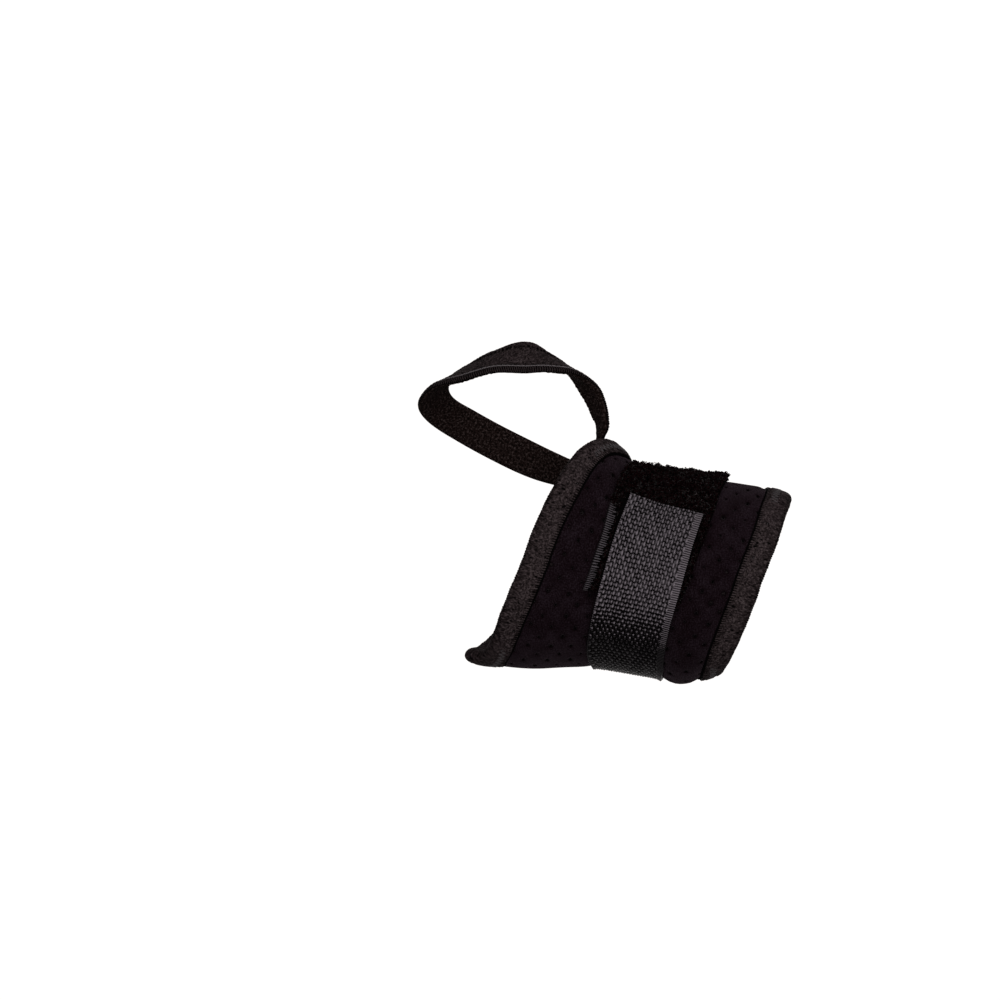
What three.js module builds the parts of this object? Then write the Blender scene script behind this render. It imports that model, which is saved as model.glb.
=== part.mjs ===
// Wrist support with a thumb loop.
// A perforated neoprene panel is wound into a flared tube and laps over its own start on the underside.
// Folded tape binds its front and rear edges. A pile patch is sewn on top, and a webbing strap comes from
// the panel's outer end round the far side to that patch. A band of folded tape leaves the front edge on
// the loop side, turns round the thumb opening and comes back to the same edge.
//
// Millimetres. The tube runs along X, with its flared front end at -X. +Y is the loop side and +Z the top.
// The origin is on the tube's axis, below the strap.
import * as THREE from 'three';

// Driving dimensions
const WALL = 3.0; // neoprene panel
const TAPE = 0.9; // one layer of binding tape
const GAP = 0.3; // left between layers that lie on each other
const REAR_TAPE = 5.8; // width of the rear edge's tape on each face of the panel
const STRAP_WIDTH = 25.4;
const STRAP_THICKNESS = 1.2;
const PATCH_WIDTH = 31.0;
const PATCH_THICKNESS = 2.0; // woven base and pile together
const SELVEDGE_WIDTH = 2.4; // bare woven edge of the patch
const SELVEDGE_THICKNESS = 0.9;
const PATCH_SKEW = 20; // degrees by which the patch's front corner on the loop side stops short
const LOOP_WIDTH = 11.6;
const LOOP_END_WIDTH = 9.6; // where the band is sewn in
const LOOP_TAPER = 30.0; // length over which the band narrows towards each end
const LOOP_THICKNESS = 2.2;
const LOOP_CROWN = 0.4; // rise of the loop's outer face at its middle
const LOOP_TUCK = 7.5; // length of each loop end that is sewn inside the panel's front edge
const LOOP_SET = 0.6; // extra depth of those ends, as the band is flat and the panel is curved

// Degrees: the panel starts on the underside, winds once round and laps over its own start.
const PANEL_START = 270;
const PANEL_TURN = 400;
const LAP_LIFT = WALL + 2 * (TAPE + GAP) + GAP;
const LAP_RISE_FROM = 300;
const LAP_RISE_TO = 350;

// Half sizes of the hollow inside the panel, for each section along the tube
const SECTIONS = [
  { x: -62, loop: 50.0, far: 31.5, top: 17.5, under: 25.0 },
  { x: -46, loop: 47.0, far: 33.8, top: 19.5, under: 25.5 },
  { x: -30, loop: 43.0, far: 33.1, top: 20.6, under: 24.8 },
  { x: -17, loop: 37.0, far: 30.6, top: 20.8, under: 23.0 },
  { x: -13, loop: 34.2, far: 29.6, top: 20.7, under: 22.2 },
  { x: -9, loop: 31.9, far: 28.3, top: 20.5, under: 21.4 },
  { x: 2, loop: 29.3, far: 28.4, top: 20.2, under: 20.0 },
  { x: 12, loop: 29.4, far: 28.8, top: 20.5, under: 20.2 },
  { x: 16.5, loop: 29.7, far: 30.4, top: 20.7, under: 20.4 },
  { x: 20, loop: 29.9, far: 29.8, top: 20.9, under: 20.7 },
  { x: 24, loop: 30.1, far: 27.6, top: 21.1, under: 21.0 },
  { x: 28, loop: 30.2, far: 25.4, top: 21.3, under: 21.2 },
  { x: 34, loop: 30.1, far: 23.8, top: 21.5, under: 21.5 },
  { x: 48, loop: 27.8, far: 22.8, top: 21.8, under: 22.0 },
];
const SQUARENESS = 2.35; // exponent of the section's outline, 2 for an ellipse

// Where the panel's front and rear edges lie, round the tube, and how wide the front edge's tape is.
// 0 degrees is the loop side, 90 the top, 180 the far side and 270 the underside.
const EDGES = [
  { at: 0, front: -13.8, rear: 40.6, frontTape: 4.2 },
  { at: 20, front: -19.2, rear: 39.9, frontTape: 4.6 },
  { at: 40, front: -24.4, rear: 38.5, frontTape: 5.0 },
  { at: 60, front: -28.8, rear: 37.1, frontTape: 5.6 },
  { at: 90, front: -35.0, rear: 33.6, frontTape: 5.8 },
  { at: 120, front: -39.2, rear: 30.6, frontTape: 5.6 },
  { at: 150, front: -41.4, rear: 28.3, frontTape: 4.8 },
  { at: 165, front: -43.4, rear: 27.9, frontTape: 4.8 },
  { at: 180, front: -48.0, rear: 27.8, frontTape: 5.6 },
  { at: 200, front: -44.5, rear: 27.8, frontTape: 5.8 },
  { at: 225, front: -38.5, rear: 28.4, frontTape: 5.8 },
  { at: 270, front: -27.5, rear: 30.8, frontTape: 5.4 },
  { at: 315, front: -16.0, rear: 36.6, frontTape: 4.4 },
  { at: 340, front: -12.0, rear: 39.4, frontTape: 4.0 },
];

// The strap's middle line and the height of its underside above the panel's inner face
const ON_PANEL = WALL + GAP + 0.1;
const ON_LAP = LAP_LIFT + ON_PANEL;
const ON_PATCH = ON_PANEL + PATCH_THICKNESS + GAP;
const STRAP_ROUTE = [
  { at: 53, x: 3.3, lift: ON_PATCH },
  { at: 78, x: 1.3, lift: ON_PATCH },
  { at: 109, x: -1.25, lift: ON_PATCH },
  { at: 125, x: -1.8, lift: ON_PANEL + 1.1 },
  { at: 141, x: -1.35, lift: ON_PANEL },
  { at: 160, x: 0.2, lift: ON_PANEL },
  { at: 182, x: 1.6, lift: ON_PANEL },
  { at: 200, x: 2.4, lift: ON_PANEL + 0.4 },
  { at: 228, x: 3.0, lift: ON_LAP },
  { at: 245, x: 3.0, lift: ON_LAP },
  { at: 262, x: 3.0, lift: ON_LAP },
];

// The patch's middle line, from its end on the loop side to its end on top
const PATCH_ROUTE = [
  { at: 0, x: 8.0 },
  { at: 30, x: 4.9 },
  { at: 65, x: 1.8 },
  { at: 101, x: -2.0 },
];

// The thumb loop's free stretch: its middle, and the way from its outer edge to its edge by the tube
const LOOP_ROUTE = [
  { x: -19.4, y: 38.8, z: -0.6, wide: [-0.1, 0.0, 0.99] },
  { x: -20.3, y: 45.5, z: 2.2, wide: [0.33, 0.0, 0.93] },
  { x: -25.0, y: 53.8, z: 5.0, wide: [0.3, 0.28, 0.9] },
  { x: -32.0, y: 59.2, z: 8.8, wide: [0.22, -0.1, 0.96] },
  { x: -40.4, y: 60.8, z: 11.8, wide: [0.15, -0.55, 0.82] },
  { x: -47.4, y: 61.0, z: 12.8, wide: [0.08, -0.86, 0.5] },
  { x: -56.5, y: 58.2, z: 11.2, wide: [0.02, -0.62, 0.78] },
  { x: -64.6, y: 53.8, z: 7.4, wide: [-0.1, -0.46, 0.88] },
  { x: -72.6, y: 49.0, z: -0.5, wide: [-0.36, -0.25, 0.9] },
  { x: -74.6, y: 44.6, z: -8.5, wide: [-0.72, -0.5, 0.42] },
  { x: -71.4, y: 41.0, z: -16.5, wide: [-0.75, -0.64, 0.0] },
  { x: -62.6, y: 37.4, z: -22.5, wide: [-0.5, -0.84, -0.1] },
  { x: -51.0, y: 33.4, z: -25.0, wide: [-0.34, -0.93, -0.08] },
  { x: -38.0, y: 29.6, z: -23.2, wide: [-0.17, -0.95, -0.2] },
  { x: -26.0, y: 27.2, z: -19.0, wide: [-0.05, -0.85, -0.5] },
];
const LOOP_FROM = -4; // degrees round the tube where the loop leaves the front edge
const LOOP_BACK = -50; // and where it comes back

// Mesh steps
const PANEL_STEPS = 72;
const PANEL_INNER_ROWS = 10;
const STRAP_STEPS = 52;
const PATCH_STEPS = 22;
const LOOP_STEPS = 56;

const radians = THREE.MathUtils.degToRad;

// A smooth curve through a table's rows: the value of one column at a value of the key column.
function smooth(table, key, column, at) {
  const last = table.length - 1;
  const slope = (i) => {
    const before = table[Math.max(i - 1, 0)];
    const after = table[Math.min(i + 1, last)];
    return (after[column] - before[column]) / (after[key] - before[key]);
  };
  let i = 0;
  while (i < last - 1 && table[i + 1][key] < at) {
    i += 1;
  }
  const span = table[i + 1][key] - table[i][key];
  const t = (at - table[i][key]) / span;
  const rise = t * t * (3 - 2 * t);
  const away = t * (1 - t) * (1 - t) * span * slope(i);
  const towards = t * t * (t - 1) * span * slope(i + 1);
  return table[i][column] * (1 - rise) + table[i + 1][column] * rise + away + towards;
}

// The same table, carried on past both ends of a full turn
const EDGES_ROUND = [-360, 0, 360].flatMap((turn) => EDGES.map((row) => ({ ...row, at: row.at + turn })));

function edgeAt(column, degrees) {
  return smooth(EDGES_ROUND, 'at', column, THREE.MathUtils.euclideanModulo(degrees, 360));
}

// The point at a height above the panel's inner face, where the panel isn't lapped.
function above(x, degrees, height) {
  const cos = Math.cos(radians(degrees));
  const sin = Math.sin(radians(degrees));
  const side = cos >= 0 ? 'loop' : 'far';
  const face = sin >= 0 ? 'top' : 'under';
  const wide = smooth(SECTIONS, 'x', side, x);
  const deep = smooth(SECTIONS, 'x', face, x);
  const step = 0.01;
  const growth = (column) => {
    const rise = smooth(SECTIONS, 'x', column, x + step) - smooth(SECTIONS, 'x', column, x - step);
    return rise / (2 * step);
  };
  const across = Math.abs(cos) ** (2 / SQUARENESS);
  const up = Math.abs(sin) ** (2 / SQUARENESS);
  const point = new THREE.Vector3(x, Math.sign(cos) * wide * across, Math.sign(sin) * deep * up);
  const normal = new THREE.Vector3(
    -(across ** SQUARENESS * growth(side)) / wide - (up ** SQUARENESS * growth(face)) / deep,
    (Math.sign(cos) * across ** (SQUARENESS - 1)) / wide,
    (Math.sign(sin) * up ** (SQUARENESS - 1)) / deep,
  ).normalize();
  return point.addScaledVector(normal, height);
}

// How far along X a point moves for each millimetre square to an edge of the panel, in the surface.
function stepFromEdge(edge, degrees) {
  const here = (d) => above(edgeAt(edge, d), d, 0);
  const along = here(degrees + 0.5).sub(here(degrees - 0.5)).normalize();
  const x = edgeAt(edge, degrees);
  const inwards = above(x + 0.5, degrees, 0).sub(above(x - 0.5, degrees, 0));
  inwards.addScaledVector(along, -inwards.dot(along));
  return (edge === 'front' ? 1 : -1) / inwards.length();
}

// The panel's position round the tube and its lift where it laps over its own start
function panelAngle(turned) {
  return PANEL_START - turned;
}

function panelLift(turned) {
  return LAP_LIFT * THREE.MathUtils.smoothstep(turned, LAP_RISE_FROM, LAP_RISE_TO);
}

function tapeAt(edge, turned) {
  return edge === 'front' ? edgeAt('frontTape', panelAngle(turned)) : REAR_TAPE;
}

function fromEdge(edge, turned, distance, height) {
  const degrees = panelAngle(turned);
  const x = edgeAt(edge, degrees) + distance * stepFromEdge(edge, degrees);
  return above(x, degrees, height + panelLift(turned));
}

// A closed wall from two grids of points, its outer and its inner face, joined along all four rims.
function thickSheet(rows, columns, place) {
  const positions = [];
  const index = [];
  const number = (i, j, outer) => ((i * (columns + 1) + j) * 2 + (outer ? 0 : 1));
  for (let i = 0; i <= rows; i += 1) {
    for (let j = 0; j <= columns; j += 1) {
      positions.push(...place(i, j, true).toArray(), ...place(i, j, false).toArray());
    }
  }
  const quad = (a, b, c, d) => index.push(a, c, b, a, d, c);
  for (let i = 0; i < rows; i += 1) {
    for (let j = 0; j < columns; j += 1) {
      quad(
        number(i, j, true), number(i + 1, j, true),
        number(i + 1, j + 1, true), number(i, j + 1, true),
      );
      quad(
        number(i, j, false), number(i, j + 1, false),
        number(i + 1, j + 1, false), number(i + 1, j, false),
      );
    }
    quad(number(i, 0, true), number(i, 0, false), number(i + 1, 0, false), number(i + 1, 0, true));
    quad(
      number(i, columns, true), number(i + 1, columns, true),
      number(i + 1, columns, false), number(i, columns, false),
    );
  }
  for (let j = 0; j < columns; j += 1) {
    quad(number(0, j, true), number(0, j + 1, true), number(0, j + 1, false), number(0, j, false));
    quad(
      number(rows, j, true), number(rows, j, false),
      number(rows, j + 1, false), number(rows, j + 1, true),
    );
  }
  const geometry = new THREE.BufferGeometry();
  geometry.setAttribute('position', new THREE.Float32BufferAttribute(positions, 3));
  geometry.setIndex(index);
  geometry.computeVertexNormals();
  return geometry;
}

// The neoprene panel: each row of points runs from the front edge to the rear edge.
function panelGeometry() {
  const bound = [0, 0.5, 1]; // shares of the tape's width
  const columns = 2 * (bound.length - 1) + PANEL_INNER_ROWS;
  return thickSheet(PANEL_STEPS, columns, (i, j, outer) => {
    const turned = (PANEL_TURN * i) / PANEL_STEPS;
    const height = outer ? WALL : 0;
    if (j < bound.length) {
      return fromEdge('front', turned, bound[j] * tapeAt('front', turned), height);
    }
    if (columns - j < bound.length) {
      return fromEdge('rear', turned, bound[columns - j] * tapeAt('rear', turned), height);
    }
    const degrees = panelAngle(turned);
    const first = edgeAt('front', degrees) + tapeAt('front', turned) * stepFromEdge('front', degrees);
    const last = edgeAt('rear', degrees) + tapeAt('rear', turned) * stepFromEdge('rear', degrees);
    const share = (j - bound.length + 1) / PANEL_INNER_ROWS;
    const x = THREE.MathUtils.lerp(first, last, share);
    return above(x, degrees, height + panelLift(turned));
  });
}

// Binding tape folded over one edge of the panel: down the outer face, round the edge, up the inner face.
function bindingGeometry(edge) {
  const legs = [1, 0.5, 0]; // shares of the tape's width
  const turns = [60, 120];
  const fold = [
    ...legs.map((share) => ({ share, face: 1 })),
    ...turns.map((turn) => ({ turn })),
    ...legs.toReversed().map((share) => ({ share, face: -1 })),
  ];
  return thickSheet(PANEL_STEPS, fold.length - 1, (i, j, outer) => {
    const turned = (PANEL_TURN * i) / PANEL_STEPS;
    const across = edge === 'front' ? fold.length - 1 - j : j;
    const { share, face, turn } = fold[across];
    const radius = WALL / 2 + GAP + (outer ? TAPE : 0);
    if (turn === undefined) {
      return fromEdge(edge, turned, share * tapeAt(edge, turned), WALL / 2 + face * radius);
    }
    const past = -radius * Math.sin(radians(turn));
    return fromEdge(edge, turned, past, WALL / 2 + radius * Math.cos(radians(turn)));
  });
}

// The webbing strap, from its sewn end on the underside to its free end on the patch.
function strapGeometry() {
  const columns = 4;
  const first = STRAP_ROUTE[0].at;
  const last = STRAP_ROUTE[STRAP_ROUTE.length - 1].at;
  return thickSheet(STRAP_STEPS, columns, (i, j, outer) => {
    const degrees = THREE.MathUtils.lerp(last, first, i / STRAP_STEPS);
    const x = smooth(STRAP_ROUTE, 'at', 'x', degrees) + STRAP_WIDTH * (j / columns - 0.5);
    const height = smooth(STRAP_ROUTE, 'at', 'lift', degrees);
    return above(x, degrees, height + (outer ? STRAP_THICKNESS : 0));
  });
}

// The pile patch: thick where the pile stands, thin along the bare selvedge at its front.
function patchGeometry() {
  const pileColumns = 5;
  const slope = 0.5; // the pile's edge rises over this width
  const distances = [0, SELVEDGE_WIDTH, SELVEDGE_WIDTH + slope];
  const pileWidth = PATCH_WIDTH - SELVEDGE_WIDTH - slope;
  for (let k = 1; k <= pileColumns; k += 1) {
    distances.push(SELVEDGE_WIDTH + slope + (pileWidth * k) / pileColumns);
  }
  const first = PATCH_ROUTE[0].at;
  const last = PATCH_ROUTE[PATCH_ROUTE.length - 1].at;
  return thickSheet(PATCH_STEPS, distances.length - 1, (i, j, outer) => {
    const end = first + PATCH_SKEW * (1 - THREE.MathUtils.smoothstep(distances[j], 0, PATCH_WIDTH / 2));
    const degrees = THREE.MathUtils.lerp(last, end, i / PATCH_STEPS);
    const x = smooth(PATCH_ROUTE, 'at', 'x', degrees) - PATCH_WIDTH / 2 + distances[j];
    const thickness = j < 2 ? SELVEDGE_THICKNESS : PATCH_THICKNESS;
    return above(x, degrees, ON_PANEL + (outer ? thickness : 0));
  });
}

// Where a loop end lies inside the panel's front edge: the middle of the band and its width direction.
function loopEnd(degrees, distance) {
  const depth = 2 * GAP + TAPE + LOOP_SET + LOOP_THICKNESS / 2;
  const x = edgeAt('front', degrees) + distance * stepFromEdge('front', degrees);
  const below = (d) => above(x, d, panelLift(PANEL_START - d) - depth);
  const middle = below(degrees);
  const wide = below(degrees + 1).sub(below(degrees - 1)).normalize();
  return { x: middle.x, y: middle.y, z: middle.z, wide: wide.toArray() };
}

// The thumb loop as a table of its middle line and width directions, keyed by the length along it.
function loopTable() {
  const turnedRound = (row) => ({ ...row, wide: row.wide.map((value) => -value) });
  const stations = [
    loopEnd(LOOP_FROM, LOOP_TUCK),
    loopEnd(LOOP_FROM, 0),
    ...LOOP_ROUTE,
    turnedRound(loopEnd(LOOP_BACK, 0)),
    turnedRound(loopEnd(LOOP_BACK, LOOP_TUCK)),
  ];
  let length = 0;
  return stations.map((row, i) => {
    if (i > 0) {
      const before = stations[i - 1];
      length += Math.hypot(row.x - before.x, row.y - before.y, row.z - before.z);
    }
    const [wideX, wideY, wideZ] = row.wide;
    return { length, x: row.x, y: row.y, z: row.z, wideX, wideY, wideZ };
  });
}

function loopGeometry() {
  const columns = 4;
  const table = loopTable();
  const whole = table[table.length - 1].length;
  const at = (column, length) => smooth(table, 'length', column, length);
  const middle = (length) => new THREE.Vector3(at('x', length), at('y', length), at('z', length));
  return thickSheet(LOOP_STEPS, columns, (i, j, outer) => {
    const length = (whole * i) / LOOP_STEPS;
    const along = middle(length + 0.2).sub(middle(length - 0.2)).normalize();
    const wide = new THREE.Vector3(at('wideX', length), at('wideY', length), at('wideZ', length));
    wide.addScaledVector(along, -wide.dot(along)).normalize();
    const out = along.clone().cross(wide);
    const fromEnd = Math.min(length, whole - length) - LOOP_TUCK;
    const opened = THREE.MathUtils.smoothstep(fromEnd, 0, LOOP_TAPER);
    const width = THREE.MathUtils.lerp(LOOP_END_WIDTH, LOOP_WIDTH, opened);
    const share = 1 - (2 * j) / columns;
    const crown = outer ? LOOP_CROWN * (1 - share * share) : 0;
    const face = outer ? LOOP_THICKNESS / 2 - LOOP_CROWN + crown : -LOOP_THICKNESS / 2;
    return middle(length).addScaledVector(wide, (share * width) / 2).addScaledVector(out, face);
  });
}

const NEOPRENE = { color: 0x131115, roughness: 0.95, metalness: 0 };
const KNIT_TAPE = { color: 0x2c2826, roughness: 0.9, metalness: 0 };
const WEBBING = { color: 0x3b3b3d, roughness: 0.6, metalness: 0 };
const PILE = { color: 0x0f0d0d, roughness: 1, metalness: 0 };

function piece(name, geometry, look) {
  const mesh = new THREE.Mesh(geometry, new THREE.MeshStandardMaterial(look));
  mesh.name = name;
  return mesh;
}

const wristSupport = new THREE.Group();
wristSupport.add(
  piece('wrist_panel', panelGeometry(), NEOPRENE),
  piece('front_binding', bindingGeometry('front'), KNIT_TAPE),
  piece('rear_binding', bindingGeometry('rear'), KNIT_TAPE),
  piece('pile_patch', patchGeometry(), PILE),
  piece('closure_strap', strapGeometry(), WEBBING),
  piece('thumb_loop', loopGeometry(), KNIT_TAPE),
);

export default wristSupport;
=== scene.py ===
import math

import bpy
import numpy as np
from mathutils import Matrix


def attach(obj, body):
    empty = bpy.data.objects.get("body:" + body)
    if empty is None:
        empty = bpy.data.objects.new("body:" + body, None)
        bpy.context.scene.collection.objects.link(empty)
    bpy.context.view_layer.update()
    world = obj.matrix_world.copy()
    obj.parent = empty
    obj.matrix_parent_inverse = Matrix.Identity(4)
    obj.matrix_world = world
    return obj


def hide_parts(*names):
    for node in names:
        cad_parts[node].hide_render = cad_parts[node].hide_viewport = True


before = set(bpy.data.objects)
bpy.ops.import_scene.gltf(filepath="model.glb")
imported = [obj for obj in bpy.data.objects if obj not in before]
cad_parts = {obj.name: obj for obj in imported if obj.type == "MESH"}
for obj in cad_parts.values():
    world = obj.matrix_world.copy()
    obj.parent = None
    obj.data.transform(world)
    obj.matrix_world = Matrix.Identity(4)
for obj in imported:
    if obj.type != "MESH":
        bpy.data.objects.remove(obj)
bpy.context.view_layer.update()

MM = 0.001
COARSE = 4  # a sheet's hidden face has one step for this many on its outer face
THREAD_SIDES = 6
KNIT_LIMIT = 0.3  # rise below which a face takes the painted shade material, not knit or rib
rng = np.random.default_rng(11)

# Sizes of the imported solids
WALL = 3.0
TAPE = 0.9
GAP = 0.3
REAR_TAPE = 5.8
STRAP_WIDTH = 25.4
STRAP_THICKNESS = 1.2
PATCH_WIDTH = 31.0
PATCH_THICKNESS = 2.0
SELVEDGE_WIDTH = 2.4
PATCH_SKEW = 20.0  # degrees by which the patch's front corner stops short
LOOP_WIDTH = 11.6
LOOP_END_WIDTH = 9.6
LOOP_TAPER = 30.0  # length over which the loop widens from each end
LOOP_THICKNESS = 2.2
LOOP_TUCK = 7.5  # how far its ends lie under the front edge
LOOP_SET = 0.6  # extra room between them and the tape
PANEL_START = 270.0  # degrees at which the panel starts to wind, towards lower ones
PANEL_TURN = 400.0
LAP_LIFT = WALL + 2 * (TAPE + GAP) + GAP
LAP_RISE = (300.0, 350.0)  # degrees wound between which the panel climbs over its own start
SQUARENESS = 2.35  # power of the rounded sections
ON_PANEL = WALL + GAP + 0.1
ON_LAP = LAP_LIFT + ON_PANEL
ON_PATCH = ON_PANEL + PATCH_THICKNESS + GAP

# Half sizes of the hollow for each section along the tube
SECTIONS = {
    "x": (-62, -46, -30, -17, -13, -9, 2, 12, 16.5, 20, 24, 28, 34, 48),
    "loop": (50.0, 47.0, 43.0, 37.0, 34.2, 31.9, 29.3, 29.4, 29.7, 29.9, 30.1, 30.2, 30.1, 27.8),
    "far": (31.5, 33.8, 33.1, 30.6, 29.6, 28.3, 28.4, 28.8, 30.4, 29.8, 27.6, 25.4, 23.8, 22.8),
    "top": (17.5, 19.5, 20.6, 20.8, 20.7, 20.5, 20.2, 20.5, 20.7, 20.9, 21.1, 21.3, 21.5, 21.8),
    "under": (25.0, 25.5, 24.8, 23.0, 22.2, 21.4, 20.0, 20.2, 20.4, 20.7, 21.0, 21.2, 21.5, 22.0),
}

# The panel's edges round the tube: 0 degrees is the loop side, 90 the top, 180 the far side.
EDGES = {
    "at": (0, 20, 40, 60, 90, 120, 150, 165, 180, 200, 225, 270, 315, 340),
    "front": (
        -13.8, -19.2, -24.4, -28.8, -35.0, -39.2, -41.4,
        -43.4, -48.0, -44.5, -38.5, -27.5, -16.0, -12.0,
    ),
    "rear": (40.6, 39.9, 38.5, 37.1, 33.6, 30.6, 28.3, 27.9, 27.8, 27.8, 28.4, 30.8, 36.6, 39.4),
    "tape": (4.2, 4.6, 5.0, 5.6, 5.8, 5.6, 4.8, 4.8, 5.6, 5.8, 5.8, 5.4, 4.4, 4.0),
}

# The strap's middle line and the height of its underside
STRAP = {
    "at": (53, 78, 109, 125, 141, 160, 182, 200, 228, 245, 262),
    "x": (3.3, 0.8, -1.5, -1.8, -1.35, 0.2, 1.6, 2.4, 3.0, 3.0, 3.0),
    "lift": (ON_PATCH,) * 3 + (ON_PANEL + 1.1,) + (ON_PANEL,) * 3 + (ON_PANEL + 0.4,) + (ON_LAP,) * 3,
}

PATCH = {"at": (0, 30, 65, 101), "x": (8.0, 4.9, 1.9, -2.7)}

# The thumb loop's free stretch: its middle, and the way across it to the edge by the tube
LOOP_MIDDLE = np.array([
    (-19.4, 38.8, -0.6), (-20.3, 45.5, 2.2), (-25.0, 53.8, 5.0), (-32.0, 59.2, 8.8),
    (-40.4, 60.8, 11.8), (-47.4, 61.0, 12.8), (-56.5, 58.2, 11.2), (-64.6, 53.8, 7.4),
    (-72.6, 49.0, -0.5), (-74.6, 44.6, -8.5), (-71.4, 41.0, -16.5), (-62.6, 37.4, -22.5),
    (-51.0, 33.4, -25.0), (-38.0, 29.6, -23.2), (-26.0, 27.2, -19.0),
])
LOOP_WIDE = np.array([
    (-0.1, 0.0, 0.99), (0.33, 0.0, 0.93), (0.3, 0.28, 0.9), (0.22, -0.1, 0.96),
    (0.15, -0.55, 0.82), (0.08, -0.86, 0.5), (0.02, -0.62, 0.78), (-0.1, -0.46, 0.88),
    (-0.36, -0.25, 0.9), (-0.72, -0.5, 0.42), (-0.75, -0.64, 0.0), (-0.5, -0.84, -0.1),
    (-0.34, -0.93, -0.08), (-0.17, -0.95, -0.2), (-0.05, -0.85, -0.5),
])
LOOP_FROM = -4.0  # degrees at which the loop leaves the front edge
LOOP_BACK = -50.0  # degrees at which it comes back


# Curves and surfaces

def smooth(keys, values, at):
    """A smooth curve through a table: its values at the given keys."""
    keys = np.asarray(keys, float)
    values = np.asarray(values, float)
    at = np.asarray(at, float)
    ends = np.diff(values) / np.diff(keys)
    inner = (values[2:] - values[:-2]) / (keys[2:] - keys[:-2])
    slopes = np.concatenate([ends[:1], inner, ends[-1:]])
    i = np.clip(np.searchsorted(keys, at) - 1, 0, len(keys) - 2)
    span = keys[i + 1] - keys[i]
    t = (at - keys[i]) / span
    rise = t * t * (3 - 2 * t)
    away = t * (1 - t) ** 2 * span * slopes[i]
    towards = t * t * (t - 1) * span * slopes[i + 1]
    return values[i] * (1 - rise) + values[i + 1] * rise + away + towards


def smoothstep(at, start, stop):
    t = np.clip((at - start) / (stop - start), 0, 1)
    return t * t * (3 - 2 * t)


def unit(vectors):
    return vectors / np.linalg.norm(vectors, axis=-1, keepdims=True)


def square_to(ways, vectors):
    """The part of each vector that is square to a unit way."""
    return vectors - ways * np.sum(vectors * ways, -1, keepdims=True)


def rounded_edge(distance, radius):
    """A quarter round: 0 at an edge, 1 at the radius from it and beyond."""
    return np.sqrt(1 - (1 - np.clip(distance / radius, 0, 1)) ** 2)


def section(column, x):
    return smooth(SECTIONS["x"], SECTIONS[column], x)


def edge_at(column, degrees):
    keys = np.array(EDGES["at"])
    keys_round = np.concatenate([keys - 360, keys, keys + 360])
    return smooth(keys_round, EDGES[column] * 3, np.mod(degrees, 360))


def unevenness(x, degrees):
    """Slight swells of a worn wrap, shared by all layers so that none passes through another."""
    angle = np.radians(degrees)
    slow = np.sin(3 * angle + x / 9) * np.sin(x / 13 + 1.2)
    quick = np.sin(7 * angle - x / 5.5 + 0.6) * np.sin(2 * angle + x / 8)
    return 0.2 * slow + 0.1 * quick


def above(x, degrees, height):
    """Points at a height above the panel's inner face, where the panel isn't lapped."""
    x, degrees, height = np.broadcast_arrays(x, degrees, height)
    cos = np.cos(np.radians(degrees))
    sin = np.sin(np.radians(degrees))
    step = 0.01
    sizes = []
    growths = []
    for test, yes, no in ((cos >= 0, "loop", "far"), (sin >= 0, "top", "under")):
        size = [np.where(test, section(yes, x + d), section(no, x + d)) for d in (-step, 0, step)]
        sizes.append(size[1])
        growths.append((size[2] - size[0]) / (2 * step))
    wide, deep = sizes
    across = np.abs(cos) ** (2 / SQUARENESS)
    up = np.abs(sin) ** (2 / SQUARENESS)
    point = np.stack([x, np.sign(cos) * wide * across, np.sign(sin) * deep * up], -1)
    slope = -(across**SQUARENESS) * growths[0] / wide - up**SQUARENESS * growths[1] / deep
    normal = np.stack([
        slope,
        np.sign(cos) * across ** (SQUARENESS - 1) / wide,
        np.sign(sin) * up ** (SQUARENESS - 1) / deep,
    ], -1)
    return point + unit(normal) * (height + unevenness(x, degrees))[..., None]


def step_from_edge(edge, degrees):
    """How far along X a point moves for each millimetre square to an edge, in the surface."""
    x = edge_at(edge, degrees)
    before = above(edge_at(edge, degrees - 0.5), degrees - 0.5, 0)
    after = above(edge_at(edge, degrees + 0.5), degrees + 0.5, 0)
    along = unit(after - before)
    inwards = square_to(along, above(x + 0.5, degrees, 0) - above(x - 0.5, degrees, 0))
    sign = 1 if edge == "front" else -1
    return sign / np.linalg.norm(inwards, axis=-1)


def x_from_edge(edge, degrees, distance):
    return edge_at(edge, degrees) + distance * step_from_edge(edge, degrees)


def panel_lift(turned):
    return LAP_LIFT * smoothstep(turned, *LAP_RISE)


def tape_at(edge, turned):
    if edge == "front":
        return edge_at("tape", PANEL_START - turned)
    return np.full(np.shape(turned), REAR_TAPE)


def from_edge(edge, turned, distance, height):
    degrees = PANEL_START - turned
    return above(x_from_edge(edge, degrees, distance), degrees, height + panel_lift(turned))


def lengths(points):
    """How far along a line each of its points is."""
    steps = np.linalg.norm(np.diff(points, axis=0), axis=1)
    return np.concatenate([[0.0], np.cumsum(steps)])


def even_steps(line, start, stop, step):
    """Lengths along a line in even steps, and the line's parameter at each of them."""
    dense = np.linspace(start, stop, 3001)
    along = lengths(line(dense))
    count = COARSE * max(1, round(along[-1] / step / COARSE))
    even = np.linspace(0, along[-1], count + 1)
    return even, np.interp(even, along, dense)


# Meshes

def add_object(name, data):
    added = bpy.data.objects.new(name, data)
    bpy.context.scene.collection.objects.link(added)
    return added


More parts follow.
